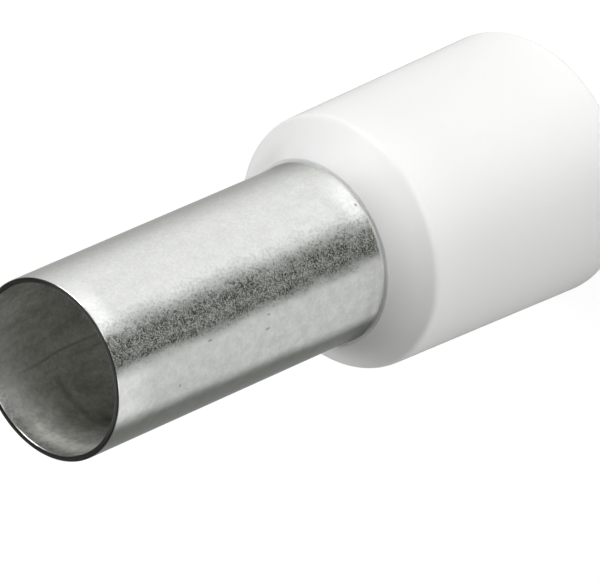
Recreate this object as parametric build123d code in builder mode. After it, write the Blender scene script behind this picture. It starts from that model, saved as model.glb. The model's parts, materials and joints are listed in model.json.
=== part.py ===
from build123d import *
import os
from math import cos, radians, sin

# Insulated wire ferrule for a 16 mm2 stranded conductor, in millimetres.
# It has two pieces, both round about Z: a thin metal sleeve with a flared root, and
# a moulded collar that grips it. The part stands on the collar's open rim, where the
# insulated wire goes in, with its origin at the centre of that rim. The mouth of the
# sleeve points up. Outlines are drawn in the XZ plane as (radius, height).

# Sleeve: a tube of constant wall
bore_radius = 2.9
sleeve_wall = 0.2
sleeve_reach = 12.5
mouth_round_share = 0.25

# Root of the sleeve: it swells a little on its way through the collar's neck, and
# ends in a flare, which stops it from pulling out
swell_lead = 0.4
root_swell = 0.09
flare_spread = 0.6
flare_angle = 30
flare_bend_radius = 0.5

# Outside of the collar, its radii counted outwards from the sleeve and the entry bore
collar_length = 10.4
shoulder_length = 1.2
shoulder_round = 0.43
shoulder_wall = 0.29
rim_wall = 0.5
rim_round_share = 0.65
nose_land = 0.15
nose_round_share = 0.3

# Inside of the collar: neck, seat of the flare, funnel and entry bore
neck_grip = 0.9
neck_round_share = 0.15
seat_clearance = 0.01
entry_step = 1.0
entry_round_share = 0.15

# Sizes that follow
sleeve_radius = bore_radius + sleeve_wall
root_radius = sleeve_radius + root_swell
nose_radius = sleeve_radius + nose_land
entry_radius = sleeve_radius + entry_step
shoulder_radius = entry_radius + shoulder_wall
rim_radius = entry_radius + rim_wall
overall_length = collar_length + sleeve_reach
swell_height = collar_length + swell_lead
shoulder_height = collar_length - shoulder_length
bend_height = collar_length - neck_grip
flare_tilt = radians(flare_angle)


def beside_flare(run, lift):
    """Return the (radius, height) of a point beside the outside of the flare.

    run goes down the cone from its bend, and lift goes outwards from the metal.
    """
    radius = root_radius + run * sin(flare_tilt) + lift * cos(flare_tilt)
    height = bend_height - run * cos(flare_tilt) + lift * sin(flare_tilt)
    return (radius, height)


# The funnel carries on the inside of the flare, so that no strand catches on its lip
flare_run = flare_spread / sin(flare_tilt)
funnel_reach = entry_radius - root_radius + sleeve_wall * cos(flare_tilt)
funnel_run = funnel_reach / sin(flare_tilt)

bend_corner = beside_flare(0, 0)
lip_outside = beside_flare(flare_run, 0)
lip_inside = beside_flare(flare_run, -sleeve_wall)
funnel_foot = beside_flare(funnel_run, -sleeve_wall)

# The sleeve: its outside line, thickened inwards by the wall
with BuildPart() as sleeve:
    with BuildSketch(Plane.XZ) as sleeve_section:
        with BuildLine():
            outside_line = FilletPolyline(
                (sleeve_radius, overall_length),
                (sleeve_radius, swell_height),
                bend_corner,
                lip_outside,
                radius=[0, flare_bend_radius],
            )
            offset(
                outside_line,
                amount=sleeve_wall,
                kind=Kind.INTERSECTION,
                side=Side.RIGHT,
            )
        make_face()
        mouth_corners = sleeve_section.vertices().group_by(Axis.Y)[-1]
        fillet(mouth_corners, sleeve_wall * mouth_round_share)
    revolve(axis=Axis.Z)

# The collar: each corner of its section with the radius that rounds it
collar_corners = [
    ((entry_radius, 0), rim_wall * entry_round_share),
    ((rim_radius, 0), rim_wall * rim_round_share),
    ((shoulder_radius, shoulder_height), shoulder_round),
    ((nose_radius, collar_length), nose_land * nose_round_share),
    ((sleeve_radius, collar_length), 0),
    (bend_corner, 0),
    (lip_outside, 0),
    (lip_inside, 0),
    (funnel_foot, 0),
]

with BuildPart() as collar:
    with BuildSketch(Plane.XZ) as collar_section:
        with BuildLine():
            FilletPolyline(
                [corner for corner, rounding in collar_corners],
                radius=[rounding for corner, rounding in collar_corners],
                close=True,
            )
        make_face()
        # Neck and seat follow the sleeve's own section, grown by the clearance
        offset(
            sleeve_section.sketch_local,
            amount=seat_clearance,
            kind=Kind.INTERSECTION,
            mode=Mode.SUBTRACT,
        )
        neck_edge = collar_section.vertices().group_by(Axis.Y)[-1].sort_by(Axis.X)[0]
        fillet(neck_edge, nose_land * neck_round_share)
    revolve(axis=Axis.Z)

# Write one STEP file for each piece
os.makedirs("parts", exist_ok=True)

sleeve.part.label = "sleeve"
export_step(sleeve.part, "parts/sleeve.step")

collar.part.label = "collar"
export_step(collar.part, "parts/collar.step")
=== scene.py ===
import json
from math import cos, degrees, pi, radians, sin, tan

import bpy
from mathutils import Matrix, Vector


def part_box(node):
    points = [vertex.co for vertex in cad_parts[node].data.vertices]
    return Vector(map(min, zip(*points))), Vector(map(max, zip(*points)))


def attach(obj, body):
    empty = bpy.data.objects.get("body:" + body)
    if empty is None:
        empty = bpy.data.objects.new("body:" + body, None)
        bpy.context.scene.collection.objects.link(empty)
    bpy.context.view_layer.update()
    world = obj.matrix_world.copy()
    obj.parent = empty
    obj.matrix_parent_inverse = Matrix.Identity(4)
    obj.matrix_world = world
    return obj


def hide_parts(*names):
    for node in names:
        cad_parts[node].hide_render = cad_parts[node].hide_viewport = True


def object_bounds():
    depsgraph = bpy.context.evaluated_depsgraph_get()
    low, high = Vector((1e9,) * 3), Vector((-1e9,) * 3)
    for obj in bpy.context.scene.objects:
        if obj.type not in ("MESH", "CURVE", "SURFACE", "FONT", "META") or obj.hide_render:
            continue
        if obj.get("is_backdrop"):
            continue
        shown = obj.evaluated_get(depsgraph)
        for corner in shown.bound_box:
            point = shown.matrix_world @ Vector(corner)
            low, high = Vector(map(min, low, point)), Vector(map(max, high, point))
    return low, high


# Looks of the insulated wire ferrule: a tin-plated sleeve in a white moulded collar.
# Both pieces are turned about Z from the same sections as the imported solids, but for the
# seat's clearance, which is closed at both its ends. Lengths are in metres.

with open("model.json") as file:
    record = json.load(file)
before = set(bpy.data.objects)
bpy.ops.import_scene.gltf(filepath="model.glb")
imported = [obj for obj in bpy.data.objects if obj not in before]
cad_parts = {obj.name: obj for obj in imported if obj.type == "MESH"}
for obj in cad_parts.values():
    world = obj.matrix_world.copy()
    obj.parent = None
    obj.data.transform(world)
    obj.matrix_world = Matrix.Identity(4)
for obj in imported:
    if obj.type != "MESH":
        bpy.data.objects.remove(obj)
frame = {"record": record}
cad_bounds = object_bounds()

MM = 0.001

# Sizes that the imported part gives
sleeve_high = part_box("sleeve")[1]
collar_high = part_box("collar")[1]
mounts = {mount["name"]: mount for mount in frame["record"]["mounts"]}
MOUTH_HEIGHT = sleeve_high.z
LIP_RADIUS = sleeve_high.x
COLLAR_LENGTH = collar_high.z
RIM_RADIUS = collar_high.x
BORE_RADIUS = mounts["conductor_bore"]["dims"]["r_mm"] * MM
SLEEVE_RADIUS = mounts["terminal_pin"]["dims"]["r_mm"] * MM
ENTRY_RADIUS = mounts["insulation_bore"]["dims"]["r_mm"] * MM
SLEEVE_WALL = SLEEVE_RADIUS - BORE_RADIUS

# Sizes of the sections that the boxes and mounts don't give
MOUTH_ROUND = 0.05 * MM
SWELL_LEAD = 0.4 * MM
ROOT_SWELL = 0.09 * MM
NECK_GRIP = 0.9 * MM
FLARE_BEND = 0.5 * MM
FLARE_TILT = radians(30)
SEAT_CLEARANCE = 0.01 * MM
SHOULDER_LENGTH = 1.2 * MM
SHOULDER_WALL = 0.29 * MM
SHOULDER_ROUND = 0.43 * MM
NOSE_LAND = 0.15 * MM
NOSE_ROUND = 0.045 * MM
RIM_ROUND = 0.325 * MM
ENTRY_ROUND = 0.075 * MM

# How finely the sections are turned
TURN_STEPS = 192
ARC_STEPS = 8
RUN_STEP = 0.3 * MM
RUN_EASE = 0.02 * MM
SHARP_ANGLE = radians(40)

# The sleeve's materials, by their places in its list, and how deep the cut face reaches
# into the rounding of the mouth
TIN, BORE, CUT = range(3)
CUT_DEPTH = MOUTH_ROUND / 8


def beside(line, lift):
    """Return a copy of an open line of (radius, height) corners, moved sideways by lift.

    The line runs down the outside of the metal, and lift goes outwards.
    """
    points = [Vector(corner) for corner in line]
    runs = [(after - before).normalized() for before, after in zip(points, points[1:])]
    sides = [Vector((-run.y, run.x)) for run in runs]
    moved = []
    for point, before, after in zip(points, sides[:1] + sides, sides + sides[-1:]):
        middle = (before + after).normalized()
        moved.append(tuple(point + middle * lift / middle.dot(before)))
    return moved


def rounded(corners, roundings):
    """Return the points of a closed section whose corners are rounded.

    Straight runs are cut up, with a point close to each end that keeps them straight
    under smooth shading.
    """
    points = [Vector(corner) for corner in corners]
    stretches = []
    for index, rounding in enumerate(roundings):
        corner = points[index]
        back = (points[index - 1] - corner).normalized()
        ahead = (points[(index + 1) % len(points)] - corner).normalized()
        half = back.angle(ahead) / 2
        if rounding == 0:
            stretches.append([corner])
            continue
        centre = corner + (back + ahead).normalized() * rounding / sin(half)
        start = corner + back * rounding / tan(half) - centre
        sweep = start.angle_signed(corner + ahead * rounding / tan(half) - centre)
        turns = [Matrix.Rotation(-sweep * step / ARC_STEPS, 2) for step in range(ARC_STEPS + 1)]
        stretches.append([centre + turn @ start for turn in turns])
    outline = []
    for stretch, following in zip(stretches, stretches[1:] + stretches[:1]):
        outline += stretch
        run = following[0] - stretch[-1]
        if run.length < RUN_STEP:
            continue
        steps = round(run.length / RUN_STEP)
        shares = [step / steps for step in range(1, steps)]
        ease = RUN_EASE / run.length
        outline += [stretch[-1] + run * share for share in [ease, *shares, 1 - ease]]
    return outline


def turned(name, outline, materials, pick_material):
    """Turn a closed section about Z into a mesh, and return its object.

    pick_material gives the index of the material at a (radius, height) of the section.
    """
    verts = []
    for turn in range(TURN_STEPS):
        angle = 2 * pi * turn / TURN_STEPS
        verts += [(point.x * cos(angle), point.x * sin(angle), point.y) for point in outline]
    count = len(outline)
    faces = []
    picks = []
    for turn in range(TURN_STEPS):
        here = turn * count
        there = (turn + 1) % TURN_STEPS * count
        for index in range(count):
            following = (index + 1) % count
            faces.append((here + index, there + index, there + following, here + following))
            picks.append(pick_material((outline[index] + outline[following]) / 2))
    mesh = bpy.data.meshes.new(name)
    mesh.from_pydata(verts, [], faces)
    for material in materials:
        mesh.materials.append(material)
    mesh.polygons.foreach_set("material_index", picks)
    mesh.shade_smooth()
    mesh.set_sharp_from_angle(angle=SHARP_ANGLE)
    piece = bpy.data.objects.new(name, mesh)
    bpy.context.scene.collection.objects.link(piece)
    return piece


def new_material(name):
    """Return a new material, its node tree and its principled shader."""
    material = bpy.data.materials.new(name)
    material.use_nodes = True
    tree = material.node_tree
    return material, tree, tree.nodes["Principled BSDF"]


def feed(tree, fed, inputs):
    """Fill a node's inputs by value or link."""
    for name, value in dict(inputs).items():
        if isinstance(value, bpy.types.NodeSocket):
            tree.links.new(value, fed.inputs[name])
        else:
            fed.inputs[name].default_value = value


def node(tree, kind, inputs=(), **settings):
    """Add a node to a tree, with its settings and inputs, and return it."""
    made = tree.nodes.new(kind)
    for name, value in settings.items():
        setattr(made, name, value)
    feed(tree, made, inputs)
    return made


def stretched(tree, place, scale):
    """Return a position with its three axes scaled."""
    return node(tree, "ShaderNodeMapping", {"Vector": place, "Scale": scale}).outputs["Vector"]


def noise(tree, place, kind):
    """Return a noise value from 0 to 1.

    Its kind gives the features to the metre, their detail and their roughness.
    """
    scale, detail, roughness = kind
    settings = {"Vector": place, "Scale": scale, "Detail": detail, "Roughness": roughness}
    return node(tree, "ShaderNodeTexNoise", settings).outputs["Fac"]


# Levels of a ramp: the usual ones, those of one that falls, and of one about 0
RISING = (0.0, 1.0)
FALLING = (1.0, 0.0)
SWINGING = (-1.0, 1.0)


def ramp(tree, value, edges, levels=RISING):
    """Return a value carried smoothly from between two edges to between two levels."""
    settings = {
        "Value": value,
        "From Min": edges[0],
        "From Max": edges[1],
        "To Min": levels[0],
        "To Max": levels[1],
    }
    made = node(tree, "ShaderNodeMapRange", settings, interpolation_type="SMOOTHSTEP")
    return made.outputs["Result"]


def calculate(tree, operation, first, second=0.0, third=0.0):
    """Return the result of a math node."""
    made = node(tree, "ShaderNodeMath", {0: first, 1: second, 2: third}, operation=operation)
    return made.outputs["Value"]


def product(tree, first, second):
    """Return one value times another."""
    return calculate(tree, "MULTIPLY", first, second)


# A mix node's sockets for colours, which share their names with those of other types
MIX_FIRST = 6
MIX_SECOND = 7
MIX_RESULT = 2


def blend(tree, share, first, second):
    """Return a colour between two colours."""
    inputs = {"Factor": share, MIX_FIRST: first, MIX_SECOND: second}
    made = node(tree, "ShaderNodeMix", inputs, data_type="RGBA")
    return made.outputs[MIX_RESULT]


def bump(tree, height, distance, strength):
    """Return a normal bent by a height of up to distance metres."""
    inputs = {"Height": height, "Distance": distance, "Strength": strength}
    return node(tree, "ShaderNodeBump", inputs).outputs["Normal"]


def window(tree, value, edges):
    """Return 1 between the two middle edges, and 0 below the first and above the last."""
    rise = ramp(tree, value, edges[:2])
    fall = ramp(tree, value, edges[2:], FALLING)
    return product(tree, rise, fall)


def dimmed(tree, tone, mark, depth):
    """Return a tone that a mark lowers by a share of up to depth, or raises by minus depth."""
    kept = calculate(tree, "MULTIPLY_ADD", mark, -depth, 1.0)
    return product(tree, tone, kept)


def azimuth_of(tree, place):
    """Return the azimuth of a position about Z, in radians."""
    parts = node(tree, "ShaderNodeSeparateXYZ", {"Vector": stretched(tree, place, (1, -1, 1))})
    return calculate(tree, "ARCTAN2", parts.outputs["X"], parts.outputs["Y"])


def places(tree):
    """Return the position on a piece, its azimuth in degrees and its height in mm."""
    place = node(tree, "ShaderNodeTexCoord").outputs["Object"]
    angle = product(tree, azimuth_of(tree, place), degrees(1))
    height = node(tree, "ShaderNodeSeparateXYZ", {"Vector": place}).outputs["Z"]
    return place, angle, product(tree, height, 1 / MM)


# Where a fleck fades, by the square of the distance from its middle, in its half sizes
FLECK_FADE = (0.3, 1.0)


def fleck(tree, angle, height, place, reach):
    """Return a small spot, 1 at its place of (azimuth, height) and 0 beyond its reach."""
    squares = []
    for value, middle, half in zip((angle, height), place, reach):
        away = calculate(tree, "MULTIPLY_ADD", value, 1 / half, -middle / half)
        squares.append(calculate(tree, "POWER", away, 2.0))
    return ramp(tree, calculate(tree, "ADD", *squares), FLECK_FADE, FALLING)


# In the tables below, heights are in mm from the collar's rim and azimuths in degrees.
# A window of four is full between its middle values and gone outside the outer ones.
# A depth is the share of the tone that a mark takes, and a negative one lightens it.
# Low, lower and upper are as in the photo, where the azimuths grow upwards. A noise is
# given by its features to the metre, their detail and their roughness.

# The part of a noise's values that nearly all of it lies in, and a narrower one
NOISE_RANGE = (0.3, 0.7)
NOISE_MIDDLE = (0.35, 0.65)

# Tin plate: the noises of its grain, its clumps and its long patches
TIN_GRAIN = (9500, 2.0, 0.6)
TIN_CLUMPS = (2600, 2.0, 0.5)
TIN_PATCHES = (1800, 3.0, 0.6)
TIN_PATCH_STRETCH = (1, 1, 0.35)

# Its tone between dull and bright patches, and the shares by which the grain and the
# clumps vary it. The clumps vary the upper side less than the lower one.
TIN_TONES = (0.745, 0.775)
TIN_GRAIN_DEPTH = -0.05
MOTTLE_AZIMUTHS = (-15, 5)
MOTTLE_SHARES = (0.06, 0.025)

# How far the patches shift the edges of the streaks, and how far the grain frays the
# lower and the upper edge of the dark one
DRIFTS = (-1.5, 1.5)
FRAY_AZIMUTHS = (-12, 4)
FRAY_WIDTHS = (0.8, 1.3)

# Darker streaks along the tube: azimuths and depth. The first two are painted reflections
# of shade; the third, on the back, is only a dull streak.
DULL_AND_SHADE_STREAKS = [
    ((-135, -115, -18, -8), 0.31),
    ((42, 84, 100, 120), 0.47),
    ((130, 140, 150, 168), 0.60),
]

# The low streak is a painted reflection of shade. It leans, so its azimuths shift between
# two heights. The patches shift its edges less than those of the others.
LOW_REFLECTED_SHADE = (-112, -98, -62, -49)
LOW_REFLECTED_SHADE_DEPTH = 0.71
LOW_REFLECTED_SHADE_DRIFT = 0.5
LEAN_HEIGHTS = (9, 21)
LEAN_SHIFTS = (5.5, -1.2)

# The dark frayed streak, a painted reflection of shade. Ridges in the middle of the grain's
# values stay lighter in it, and the clumps vary it.
DARK_REFLECTED_SHADE = (-24.5, -12.5, -4, 18)
DARK_REFLECTED_SHADE_DEPTH = 0.875
GRAIN_MIDDLE = 0.5
RIDGE_EDGES = (0.0, 0.06)
RIDGE_DEPTH = 0.42
SPECKLE_LEVEL = 1.02
SPECKLE_CLUMPS = (0.93, 1.05)

# Flecks on the tube: azimuth and height, and their half sizes
FLECKS = [
    ((-0.6, 16.33), (0.6, 0.22)),
    ((-3.5, 18.73), (0.7, 0.06)),
    ((-31.8, 15.98), (0.9, 0.13)),
    ((-23.3, 15.88), (0.8, 0.09)),
    ((-23.3, 18.63), (0.8, 0.13)),
    ((-44.0, 20.03), (1.2, 0.06)),
    ((16.5, 10.60), (1.4, 0.06)),
]
FLECK_DEPTH = 0.42

# Painted glints: at the upper side of the dark streak at both ends of the tube, and low
# at its mouth
GLINT = (-2, 12, 26, 50)
GLINT_FOOT = (10.8, 11.5)
GLINT_MOUTH = (21.9, 22.5)
GLINT_DEPTH = -0.25
LOW_GLINT = (-54, -46, -28, -18)
LOW_GLINT_MOUTH = (21.0, 22.6)
LOW_GLINT_DEPTH = -0.3

# Painted light at the foot of the tube, next to the collar's nose
FOOT_LIGHT_HEIGHTS = (10.42, 10.55)
FOOT_LIGHT_SHARES = (0.85, 0.0)

# Colours of the tin where its tone is 0 and 1, its roughness where it is 0 and what the
# tone adds to that, its bump's distance and strength, and its tint at grazing angles
TIN_DARK = (0.006, 0.012, 0, 1)
TIN_BRIGHT = (0.99, 1.0, 0.975, 1)
TIN_ROUGHNESS = 0.4
TIN_ROUGHNESS_GAIN = -0.1
TIN_BUMP = (0.004 * MM, 0.35)
TIN_GRAZING = (0.65, 0.65, 0.64, 1)


def tin_material():
    """Satin tin plate: fine grain, flecks, streaks of mostly painted shade, and painted light.
    """
    material, tree, shader = new_material("tin_plate")
    place, angle, height = places(tree)
    grain = noise(tree, place, TIN_GRAIN)
    clumps = noise(tree, place, TIN_CLUMPS)
    patches = noise(tree, stretched(tree, place, TIN_PATCH_STRETCH), TIN_PATCHES)
    drift = ramp(tree, patches, NOISE_RANGE, DRIFTS)
    drifting = calculate(tree, "ADD", angle, drift)
    fray = ramp(tree, grain, NOISE_RANGE, SWINGING)
    fray_width = ramp(tree, angle, FRAY_AZIMUTHS, FRAY_WIDTHS)
    frayed = calculate(tree, "MULTIPLY_ADD", fray, fray_width, drifting)

    tone = ramp(tree, patches, NOISE_RANGE, TIN_TONES)
    tone = dimmed(tree, tone, fray, TIN_GRAIN_DEPTH)
    mottle_share = ramp(tree, angle, MOTTLE_AZIMUTHS, MOTTLE_SHARES)
    mottle = product(tree, ramp(tree, clumps, NOISE_RANGE, SWINGING), mottle_share)
    tone = calculate(tree, "MULTIPLY_ADD", tone, mottle, tone)
    # Darker streaks, mostly painted reflections of shade
    for azimuths, depth in DULL_AND_SHADE_STREAKS:
        tone = dimmed(tree, tone, window(tree, drifting, azimuths), depth)

    # The low streak: painted reflection of shade
    lean = ramp(tree, height, LEAN_HEIGHTS, LEAN_SHIFTS)
    leaning = calculate(tree, "MULTIPLY_ADD", drift, LOW_REFLECTED_SHADE_DRIFT, angle)
    leaning = calculate(tree, "ADD", leaning, lean)
    tone = dimmed(tree, tone, window(tree, leaning, LOW_REFLECTED_SHADE), LOW_REFLECTED_SHADE_DEPTH)

    # The dark frayed streak: painted reflection of shade, speckled by the grain
    off_middle = calculate(tree, "SUBTRACT", grain, GRAIN_MIDDLE)
    off_middle = calculate(tree, "ABSOLUTE", off_middle)
    ridges = ramp(tree, off_middle, RIDGE_EDGES, FALLING)
    speckle = calculate(tree, "MULTIPLY_ADD", ridges, -RIDGE_DEPTH, SPECKLE_LEVEL)
    speckle = product(tree, speckle, ramp(tree, clumps, NOISE_MIDDLE, SPECKLE_CLUMPS))
    dark = product(tree, window(tree, frayed, DARK_REFLECTED_SHADE), speckle)
    tone = dimmed(tree, tone, dark, DARK_REFLECTED_SHADE_DEPTH)
    for fleck_place, reach in FLECKS:
        tone = dimmed(tree, tone, fleck(tree, angle, height, fleck_place, reach), FLECK_DEPTH)

    # Painted glints at both ends of the tube and low at its mouth
    foot_end = ramp(tree, height, GLINT_FOOT, FALLING)
    ends = calculate(tree, "ADD", foot_end, ramp(tree, height, GLINT_MOUTH))
    glint = product(tree, ends, window(tree, frayed, GLINT))
    tone = dimmed(tree, tone, glint, GLINT_DEPTH)
    mouth_end = ramp(tree, height, LOW_GLINT_MOUTH)
    glint = product(tree, mouth_end, window(tree, angle, LOW_GLINT))
    tone = dimmed(tree, tone, glint, LOW_GLINT_DEPTH)
    # Painted light at the foot of the tube
    foot_light = ramp(tree, height, FOOT_LIGHT_HEIGHTS, FOOT_LIGHT_SHARES)
    darkness = calculate(tree, "SUBTRACT", 1.0, tone)
    tone = calculate(tree, "MULTIPLY_ADD", darkness, foot_light, tone)
    feed(tree, shader, {
        "Base Color": blend(tree, tone, TIN_DARK, TIN_BRIGHT),
        "Roughness": calculate(tree, "MULTIPLY_ADD", tone, TIN_ROUGHNESS_GAIN, TIN_ROUGHNESS),
        "Normal": bump(tree, grain, *TIN_BUMP),
        "Metallic": 1.0,
        "Specular Tint": TIN_GRAZING,
    })
    return material


# Inside of the tube: the noises of its grain, its smudges and its long patches, and how
# much of the first two is added to the patches
BORE_GRAIN = (9000, 2.0, 0.6)
BORE_SMUDGES = (4500, 1.0, 0.5)
BORE_PATCHES = (1200, 3.0, 0.6)
BORE_PATCH_STRETCH = (1, 1, 0.4)
BORE_MOTTLE_SHARE = 0.4

# How the sum varies the tone, and how the tone falls off towards the mouth: painted light
# that makes the deeper bore lighter
BORE_MOTTLE = (0.55, 1.25)
BORE_MOTTLE_LEVELS = (0.66, 1.16)
BORE_HEIGHTS = (20.3, 22.5)
BORE_TONES = (0.79, 0.565)

# Azimuths count from 0 to 360 in the bore, because its visible side is the far one.
# With one of these two pairs a window stays full up to the mouth, or up to 360.
HALF_TURN = 180
TO_MOUTH = (24, 25)
TO_FULL_TURN = (361, 362)

# Two faint lines along the bore, which turn a little towards the mouth and are broken
# up by the smudges: azimuths, the heights between which each fades, and depth
BORE_LINES = [
    ((169.4, 170.6, 171.2, 172.4), (20.5, 22.5), 0.38),
    ((176.0, 177.0, 177.4, 178.4), (18.0, 20.0), 0.25),
]
LINE_TURN_HEIGHTS = (19.5, 21.2)
LINE_TURN_SHIFTS = (0.0, -3.2)
LINE_BREAKS = (0.4, 1.0)

# Painted shade and painted light in the bore, with a painted shadow edge: heights, azimuths
# and depth
BORE_PAINTED_SHADE_AND_LIGHT = [
    ((20.0, 22.0, *TO_MOUTH), (125, 145, 160, 190), 0.27),
    ((20.0, 22.0, *TO_MOUTH), (175, 225, *TO_FULL_TURN), -0.25),
    ((20.0, 20.25, 20.3, 20.5), (181, 190, 230, 245), 0.25),
    ((21.6, 22.0, 22.2, 22.45), (185, 220, 248, 262), -0.25),
    ((22.35, 22.75, *TO_MOUTH), (185, 220, 248, 262), 0.5),
    ((20.4, 20.9, 21.5, 21.9), (234, 250, 256, 264), 0.22),
    ((20.2, 20.8, 21.5, 22.0), (92, 102, 140, 156), -0.22),
    ((19.3, 19.8, 19.9, 20.4), (217, 232, 238, 246), 0.5),
]

# Dark pits of the grain close to the mouth
PIT_HEIGHTS = (22.1, 22.7)
PIT_EDGES = (0.45, 0.6)
PIT_DEPTH = 0.4

# Colours of the bore where its tone is 0 and 1, and its bump's distance and strength
BORE_DARK = (0, 0, 0, 1)
BORE_BRIGHT = (1.0, 1.0, 0.95, 1)
BORE_BUMP = (0.006 * MM, 0.5)


def bore_material():
    """Dull tin on the inside of the tube, with drawing marks along it, painted shade and light.
    """
    material, tree, shader = new_material("tin_bore")
    place, _, height = places(tree)
    from_back = azimuth_of(tree, stretched(tree, place, (-1, -1, 1)))
    around = calculate(tree, "MULTIPLY_ADD", from_back, degrees(1), HALF_TURN)
    grain = noise(tree, place, BORE_GRAIN)
    patches = noise(tree, stretched(tree, place, BORE_PATCH_STRETCH), BORE_PATCHES)
    smudges = noise(tree, place, BORE_SMUDGES)
    mottled = calculate(tree, "MULTIPLY_ADD", grain, BORE_MOTTLE_SHARE, patches)
    mottled = calculate(tree, "MULTIPLY_ADD", smudges, BORE_MOTTLE_SHARE, mottled)
    tone = ramp(tree, mottled, BORE_MOTTLE, BORE_MOTTLE_LEVELS)
    # Painted light: lighter deeper in the bore, darker towards the mouth
    tone = product(tree, tone, ramp(tree, height, BORE_HEIGHTS, BORE_TONES))

    line_shift = ramp(tree, height, LINE_TURN_HEIGHTS, LINE_TURN_SHIFTS)
    turning = calculate(tree, "ADD", around, line_shift)
    breaks = ramp(tree, smudges, NOISE_MIDDLE, LINE_BREAKS)
    for azimuths, fade, depth in BORE_LINES:
        line = product(tree, window(tree, turning, azimuths), ramp(tree, height, fade, FALLING))
        tone = dimmed(tree, tone, product(tree, line, breaks), depth)
    # Painted shade and painted light
    for heights, azimuths, depth in BORE_PAINTED_SHADE_AND_LIGHT:
        mark = product(tree, window(tree, height, heights), window(tree, around, azimuths))
        tone = dimmed(tree, tone, mark, depth)
    pits = product(tree, ramp(tree, height, PIT_HEIGHTS), ramp(tree, grain, PIT_EDGES))
    tone = dimmed(tree, tone, pits, PIT_DEPTH)
    feed(tree, shader, {
        "Base Color": blend(tree, tone, BORE_DARK, BORE_BRIGHT),
        "Normal": bump(tree, grain, *BORE_BUMP),
        "Metallic": 0.5,
        "Roughness": 0.6,
    })
    return material


# Cut face of the wall: the noise of its grain, its colours in the valleys and on the peaks of
# the grain, painted light that shows on the front side, and the plain dark one elsewhere
CUT_GRAIN = (9000, 2.0, 0.6)
CUT_VALLEY = (0.036, 0.036, 0.034, 1)
CUT_PEAK = (0.084, 0.084, 0.078, 1)
CUT_DARK = (0.02, 0.02, 0.018, 1)
CUT_LIT_SIDE = (-75, -45, 35, 70)
CUT_BUMP = (0.005 * MM, 0.5)


def cut_material():
    """Dark cut face of the tube's wall at the mouth."""
    material, tree, shader = new_material("cut_edge")
    place, angle, _ = places(tree)
    grain = noise(tree, place, CUT_GRAIN)
    # Painted light: the front side is lighter
    lit_side = window(tree, angle, CUT_LIT_SIDE)
    feed(tree, shader, {
        "Base Color": blend(tree, lit_side, CUT_DARK, blend(tree, grain, CUT_VALLEY, CUT_PEAK)),
        "Normal": bump(tree, grain, *CUT_BUMP),
        "Metallic": 1.0,
        "Roughness": 0.5,
    })
    return material


# White plastic: the noises of its clouds and its grain, what they vary, and how deep
# light goes into it
PLASTIC_CLOUDS = (500, 3.0, 0.55)
PLASTIC_GRAIN = (7000, 2.0, 0.5)
PLASTIC_DULL = (0.93, 0.93, 0.925, 1)
PLASTIC_BRIGHT = (0.955, 0.955, 0.95, 1)
PLASTIC_ROUGHNESS = (0.38, 0.46)
PLASTIC_BUMP = (0.003 * MM, 0.2)
PLASTIC_LIGHT_DEPTH = 0.5 * MM

# Painted shade: the cone is a little darker towards its neck, up to the nose's land, but
# hardly on its sunny side
NECK_RISE = (9.55, 10.4)
NECK_FALL = (10.36, 10.4)
NECK_SHADE_COLOUR = (0.82, 0.82, 0.81, 1)
NECK_SUNNY_SIDE = (20, 55, 78, 95)
NECK_SUNNY_DEPTH = 0.9

# A faint haze, which shows only where the surface is seen at a grazing angle
HAZE_TINT = (0.98, 0.98, 0.98, 1)


def plastic_material():
    """Smooth moulded white plastic that lets a little light in, with painted shade at the neck.
    """
    material, tree, shader = new_material("moulded_plastic")
    place, angle, height = places(tree)
    clouds = noise(tree, place, PLASTIC_CLOUDS)
    grain = noise(tree, place, PLASTIC_GRAIN)
    colour = blend(tree, clouds, PLASTIC_DULL, PLASTIC_BRIGHT)
    # Painted shade towards the neck
    neck = product(tree, ramp(tree, height, NECK_RISE), ramp(tree, height, NECK_FALL, FALLING))
    neck = dimmed(tree, neck, window(tree, angle, NECK_SUNNY_SIDE), NECK_SUNNY_DEPTH)
    feed(tree, shader, {
        "Base Color": blend(tree, neck, colour, NECK_SHADE_COLOUR),
        "Roughness": ramp(tree, clouds, NOISE_RANGE, PLASTIC_ROUGHNESS),
        "Normal": bump(tree, grain, *PLASTIC_BUMP),
        "Subsurface Weight": 0.4,
        "Subsurface Radius": (1.0, 1.0, 0.9),
        "Subsurface Scale": PLASTIC_LIGHT_DEPTH,
        "Coat Weight": 1.0,
        "Coat Roughness": 0.5,
        "Coat IOR": 1.0,
        "Coat Tint": HAZE_TINT,
    })
    return material


def build_sleeve():
    """Build the sleeve, a tube with a slight swell and a flared root.

    Returns the line down its outside.
    """
    swell_height = COLLAR_LENGTH + SWELL_LEAD
    bend_height = COLLAR_LENGTH - NECK_GRIP
    root_radius = SLEEVE_RADIUS + ROOT_SWELL
    flare_drop = (LIP_RADIUS - root_radius) / tan(FLARE_TILT)
    outside = [
        (SLEEVE_RADIUS, MOUTH_HEIGHT),
        (SLEEVE_RADIUS, swell_height),
        (root_radius, bend_height),
        (LIP_RADIUS, bend_height - flare_drop),
    ]
    inside = beside(outside, -SLEEVE_WALL)
    roundings = [MOUTH_ROUND, 0, FLARE_BEND, 0]
    inside_roundings = [0, FLARE_BEND + SLEEVE_WALL, 0, MOUTH_ROUND]
    outline = rounded(outside + inside[::-1], roundings + inside_roundings)
    middle_radius = SLEEVE_RADIUS - SLEEVE_WALL / 2

    def pick_material(point):
        """Return the material at a (radius, height) of the section."""
        if point.y > MOUTH_HEIGHT - CUT_DEPTH:
            return CUT
        if point.y > MOUTH_HEIGHT - MOUTH_ROUND or point.x > middle_radius:
            return TIN
        return BORE

    materials = [tin_material(), bore_material(), cut_material()]
    piece = turned("sleeve_turned", outline, materials, pick_material)
    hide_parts("sleeve")
    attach(piece, "root")
    return outside


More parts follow.
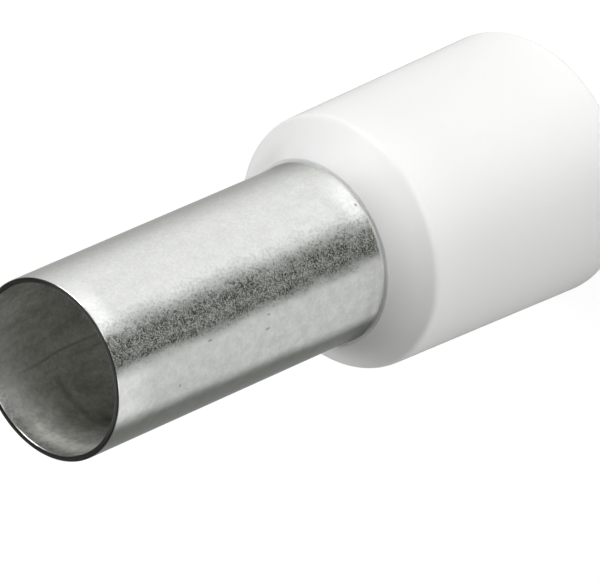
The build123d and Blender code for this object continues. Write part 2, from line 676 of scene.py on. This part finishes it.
def build_collar(sleeve_line):
    """Build the collar, a tapered body with a funnel inside, gripping the sleeve.

    Its neck narrows by the seat's clearance up to its edge, which closes on the sleeve,
    and its seat ends close on the flare's lip.
    """
    shoulder = (ENTRY_RADIUS + SHOULDER_WALL, COLLAR_LENGTH - SHOULDER_LENGTH)
    seat = beside(sleeve_line, SEAT_CLEARANCE)
    funnel_line = beside(sleeve_line, -SLEEVE_WALL)
    swell_start, bend, lip = seat[1:]
    rise = (COLLAR_LENGTH - bend[1]) / (swell_start[1] - bend[1])
    neck_radius = bend[0] + (swell_start[0] - bend[0]) * rise - SEAT_CLEARANCE
    lip_inside = funnel_line[-1]
    funnel_drop = (ENTRY_RADIUS - lip_inside[0]) / tan(FLARE_TILT)
    corners = [
        ((ENTRY_RADIUS, 0), ENTRY_ROUND),
        ((RIM_RADIUS, 0), RIM_ROUND),
        (shoulder, SHOULDER_ROUND),
        ((SLEEVE_RADIUS + NOSE_LAND, COLLAR_LENGTH), NOSE_ROUND),
        ((neck_radius, COLLAR_LENGTH), 0),
        (bend, FLARE_BEND),
        (lip, 0),
        (lip_inside, 0),
        ((ENTRY_RADIUS, lip_inside[1] - funnel_drop), 0),
    ]
    outline = rounded([corner for corner, _ in corners], [rounding for _, rounding in corners])
    piece = turned("collar_turned", outline, [plastic_material()], lambda point: 0)
    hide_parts("collar")
    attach(piece, "root")


# The floor. The camera and what reflects or lets light through see its own glow together
# with a little of its lit paper, which comes to white and keeps the object's shadow. All
# other light sees plain paper.
FLOOR_HALF = 1.5
FLOOR_DROP = 0.02 * MM
FLOOR_PAPER = (0.92, 0.92, 0.89, 1)
FLOOR_SEEN_PAPER = (0.22, 0.22, 0.22, 1)
FLOOR_GLOW = 0.9


def build_stage():
    """A plain pale floor just under the collar's rim."""
    mesh = bpy.data.meshes.new("floor")
    sides = [(-1, -1), (1, -1), (1, 1), (-1, 1)]
    corners = [(x * FLOOR_HALF, y * FLOOR_HALF, 0) for x, y in sides]
    mesh.from_pydata(corners, [], [(0, 1, 2, 3)])
    material, tree, shader = new_material("floor_paper")
    tree.nodes.remove(shader)
    path = node(tree, "ShaderNodeLightPath").outputs
    seen = calculate(tree, "MAXIMUM", path["Is Camera Ray"], path["Is Glossy Ray"])
    seen = calculate(tree, "MAXIMUM", seen, path["Is Transmission Ray"])
    colour = blend(tree, seen, FLOOR_PAPER, FLOOR_SEEN_PAPER)
    paper = node(tree, "ShaderNodeBsdfDiffuse", {"Color": colour})
    glow = product(tree, seen, FLOOR_GLOW)
    white = node(tree, "ShaderNodeEmission", {"Color": (1, 1, 1, 1), "Strength": glow})
    both = node(tree, "ShaderNodeAddShader", {0: paper.outputs[0], 1: white.outputs[0]})
    tree.links.new(both.outputs[0], tree.nodes["Material Output"].inputs["Surface"])
    mesh.materials.append(material)
    floor = bpy.data.objects.new("floor", mesh)
    floor.location.z = -FLOOR_DROP
    bpy.context.scene.collection.objects.link(floor)
    floor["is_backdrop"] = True


# Lamps: azimuth and elevation in degrees, and level. At level 1 a lamp alone shows a
# white surface that faces it as white.
LAMPS = [
    ("key", 0, 12, 0.38),
    ("side", 65, 12, 0.54),
    ("top", 135, 55, 0.32),
    ("fill", 315, 12, 0.19),
    ("behind", 185, 14, 0.27),
]
LAMP_SIZE = 0.16
LAMP_DISTANCE = 0.4
ROOM_COLOUR = (0.04, 0.04, 0.037, 1)


def build_light():
    """Soft studio light: a dim room, four low lamps round the object and a high one."""
    world = bpy.data.worlds.new("studio")
    world.use_nodes = True
    world.node_tree.nodes["Background"].inputs["Color"].default_value = ROOM_COLOUR
    bpy.context.scene.world = world
    middle = Vector((0, 0, MOUTH_HEIGHT / 2))
    for name, azimuth, elevation, level in LAMPS:
        turn = radians(azimuth)
        rise = radians(elevation)
        direction = Vector((sin(turn) * cos(rise), -cos(turn) * cos(rise), sin(rise)))
        data = bpy.data.lights.new(name, "AREA")
        data.shape = "SQUARE"
        data.size = LAMP_SIZE
        data.energy = level * (pi * LAMP_DISTANCE) ** 2
        lamp = bpy.data.objects.new(name, data)
        lamp.location = middle + direction * LAMP_DISTANCE
        lamp.rotation_euler = direction.to_track_quat("Z", "Y").to_euler()
        lamp.visible_camera = False
        bpy.context.scene.collection.objects.link(lamp)


# Camera of the photograph: its sensor and lens in mm, the range of distances that it
# shows, its tilt from straight down, its roll, and where the middle of the mouth lies
# from it, to the right, up and back
SENSOR_WIDTH = 36.0
LENS = 540.0
CLIP_START = 0.01
CLIP_END = 10.0
CAMERA_TILT = radians(48)
CAMERA_ROLL = radians(-113.9)
MOUTH_FROM_CAMERA = Vector((-8.01, -2.50, -286.87)) * MM


def build_camera():
    """The camera that was fitted to the photograph's outline."""
    data = bpy.data.cameras.new("camera")
    data.sensor_width = SENSOR_WIDTH
    data.lens = LENS
    data.clip_start = CLIP_START
    data.clip_end = CLIP_END
    camera = bpy.data.objects.new("camera", data)
    turn = Matrix.Rotation(CAMERA_TILT, 4, "X") @ Matrix.Rotation(CAMERA_ROLL, 4, "Z")
    mouth = Vector((0, 0, MOUTH_HEIGHT))
    camera.matrix_world = Matrix.Translation(mouth - turn @ MOUTH_FROM_CAMERA) @ turn
    bpy.context.scene.collection.objects.link(camera)
    bpy.context.scene.camera = camera


sleeve_line = build_sleeve()
build_collar(sleeve_line)
build_stage()
build_light()
build_camera()
bpy.context.scene.view_settings.view_transform = "Standard"

boxes = {"cad": cad_bounds, "scene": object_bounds()}
{name: [list(corner) for corner in box] for name, box in boxes.items()}
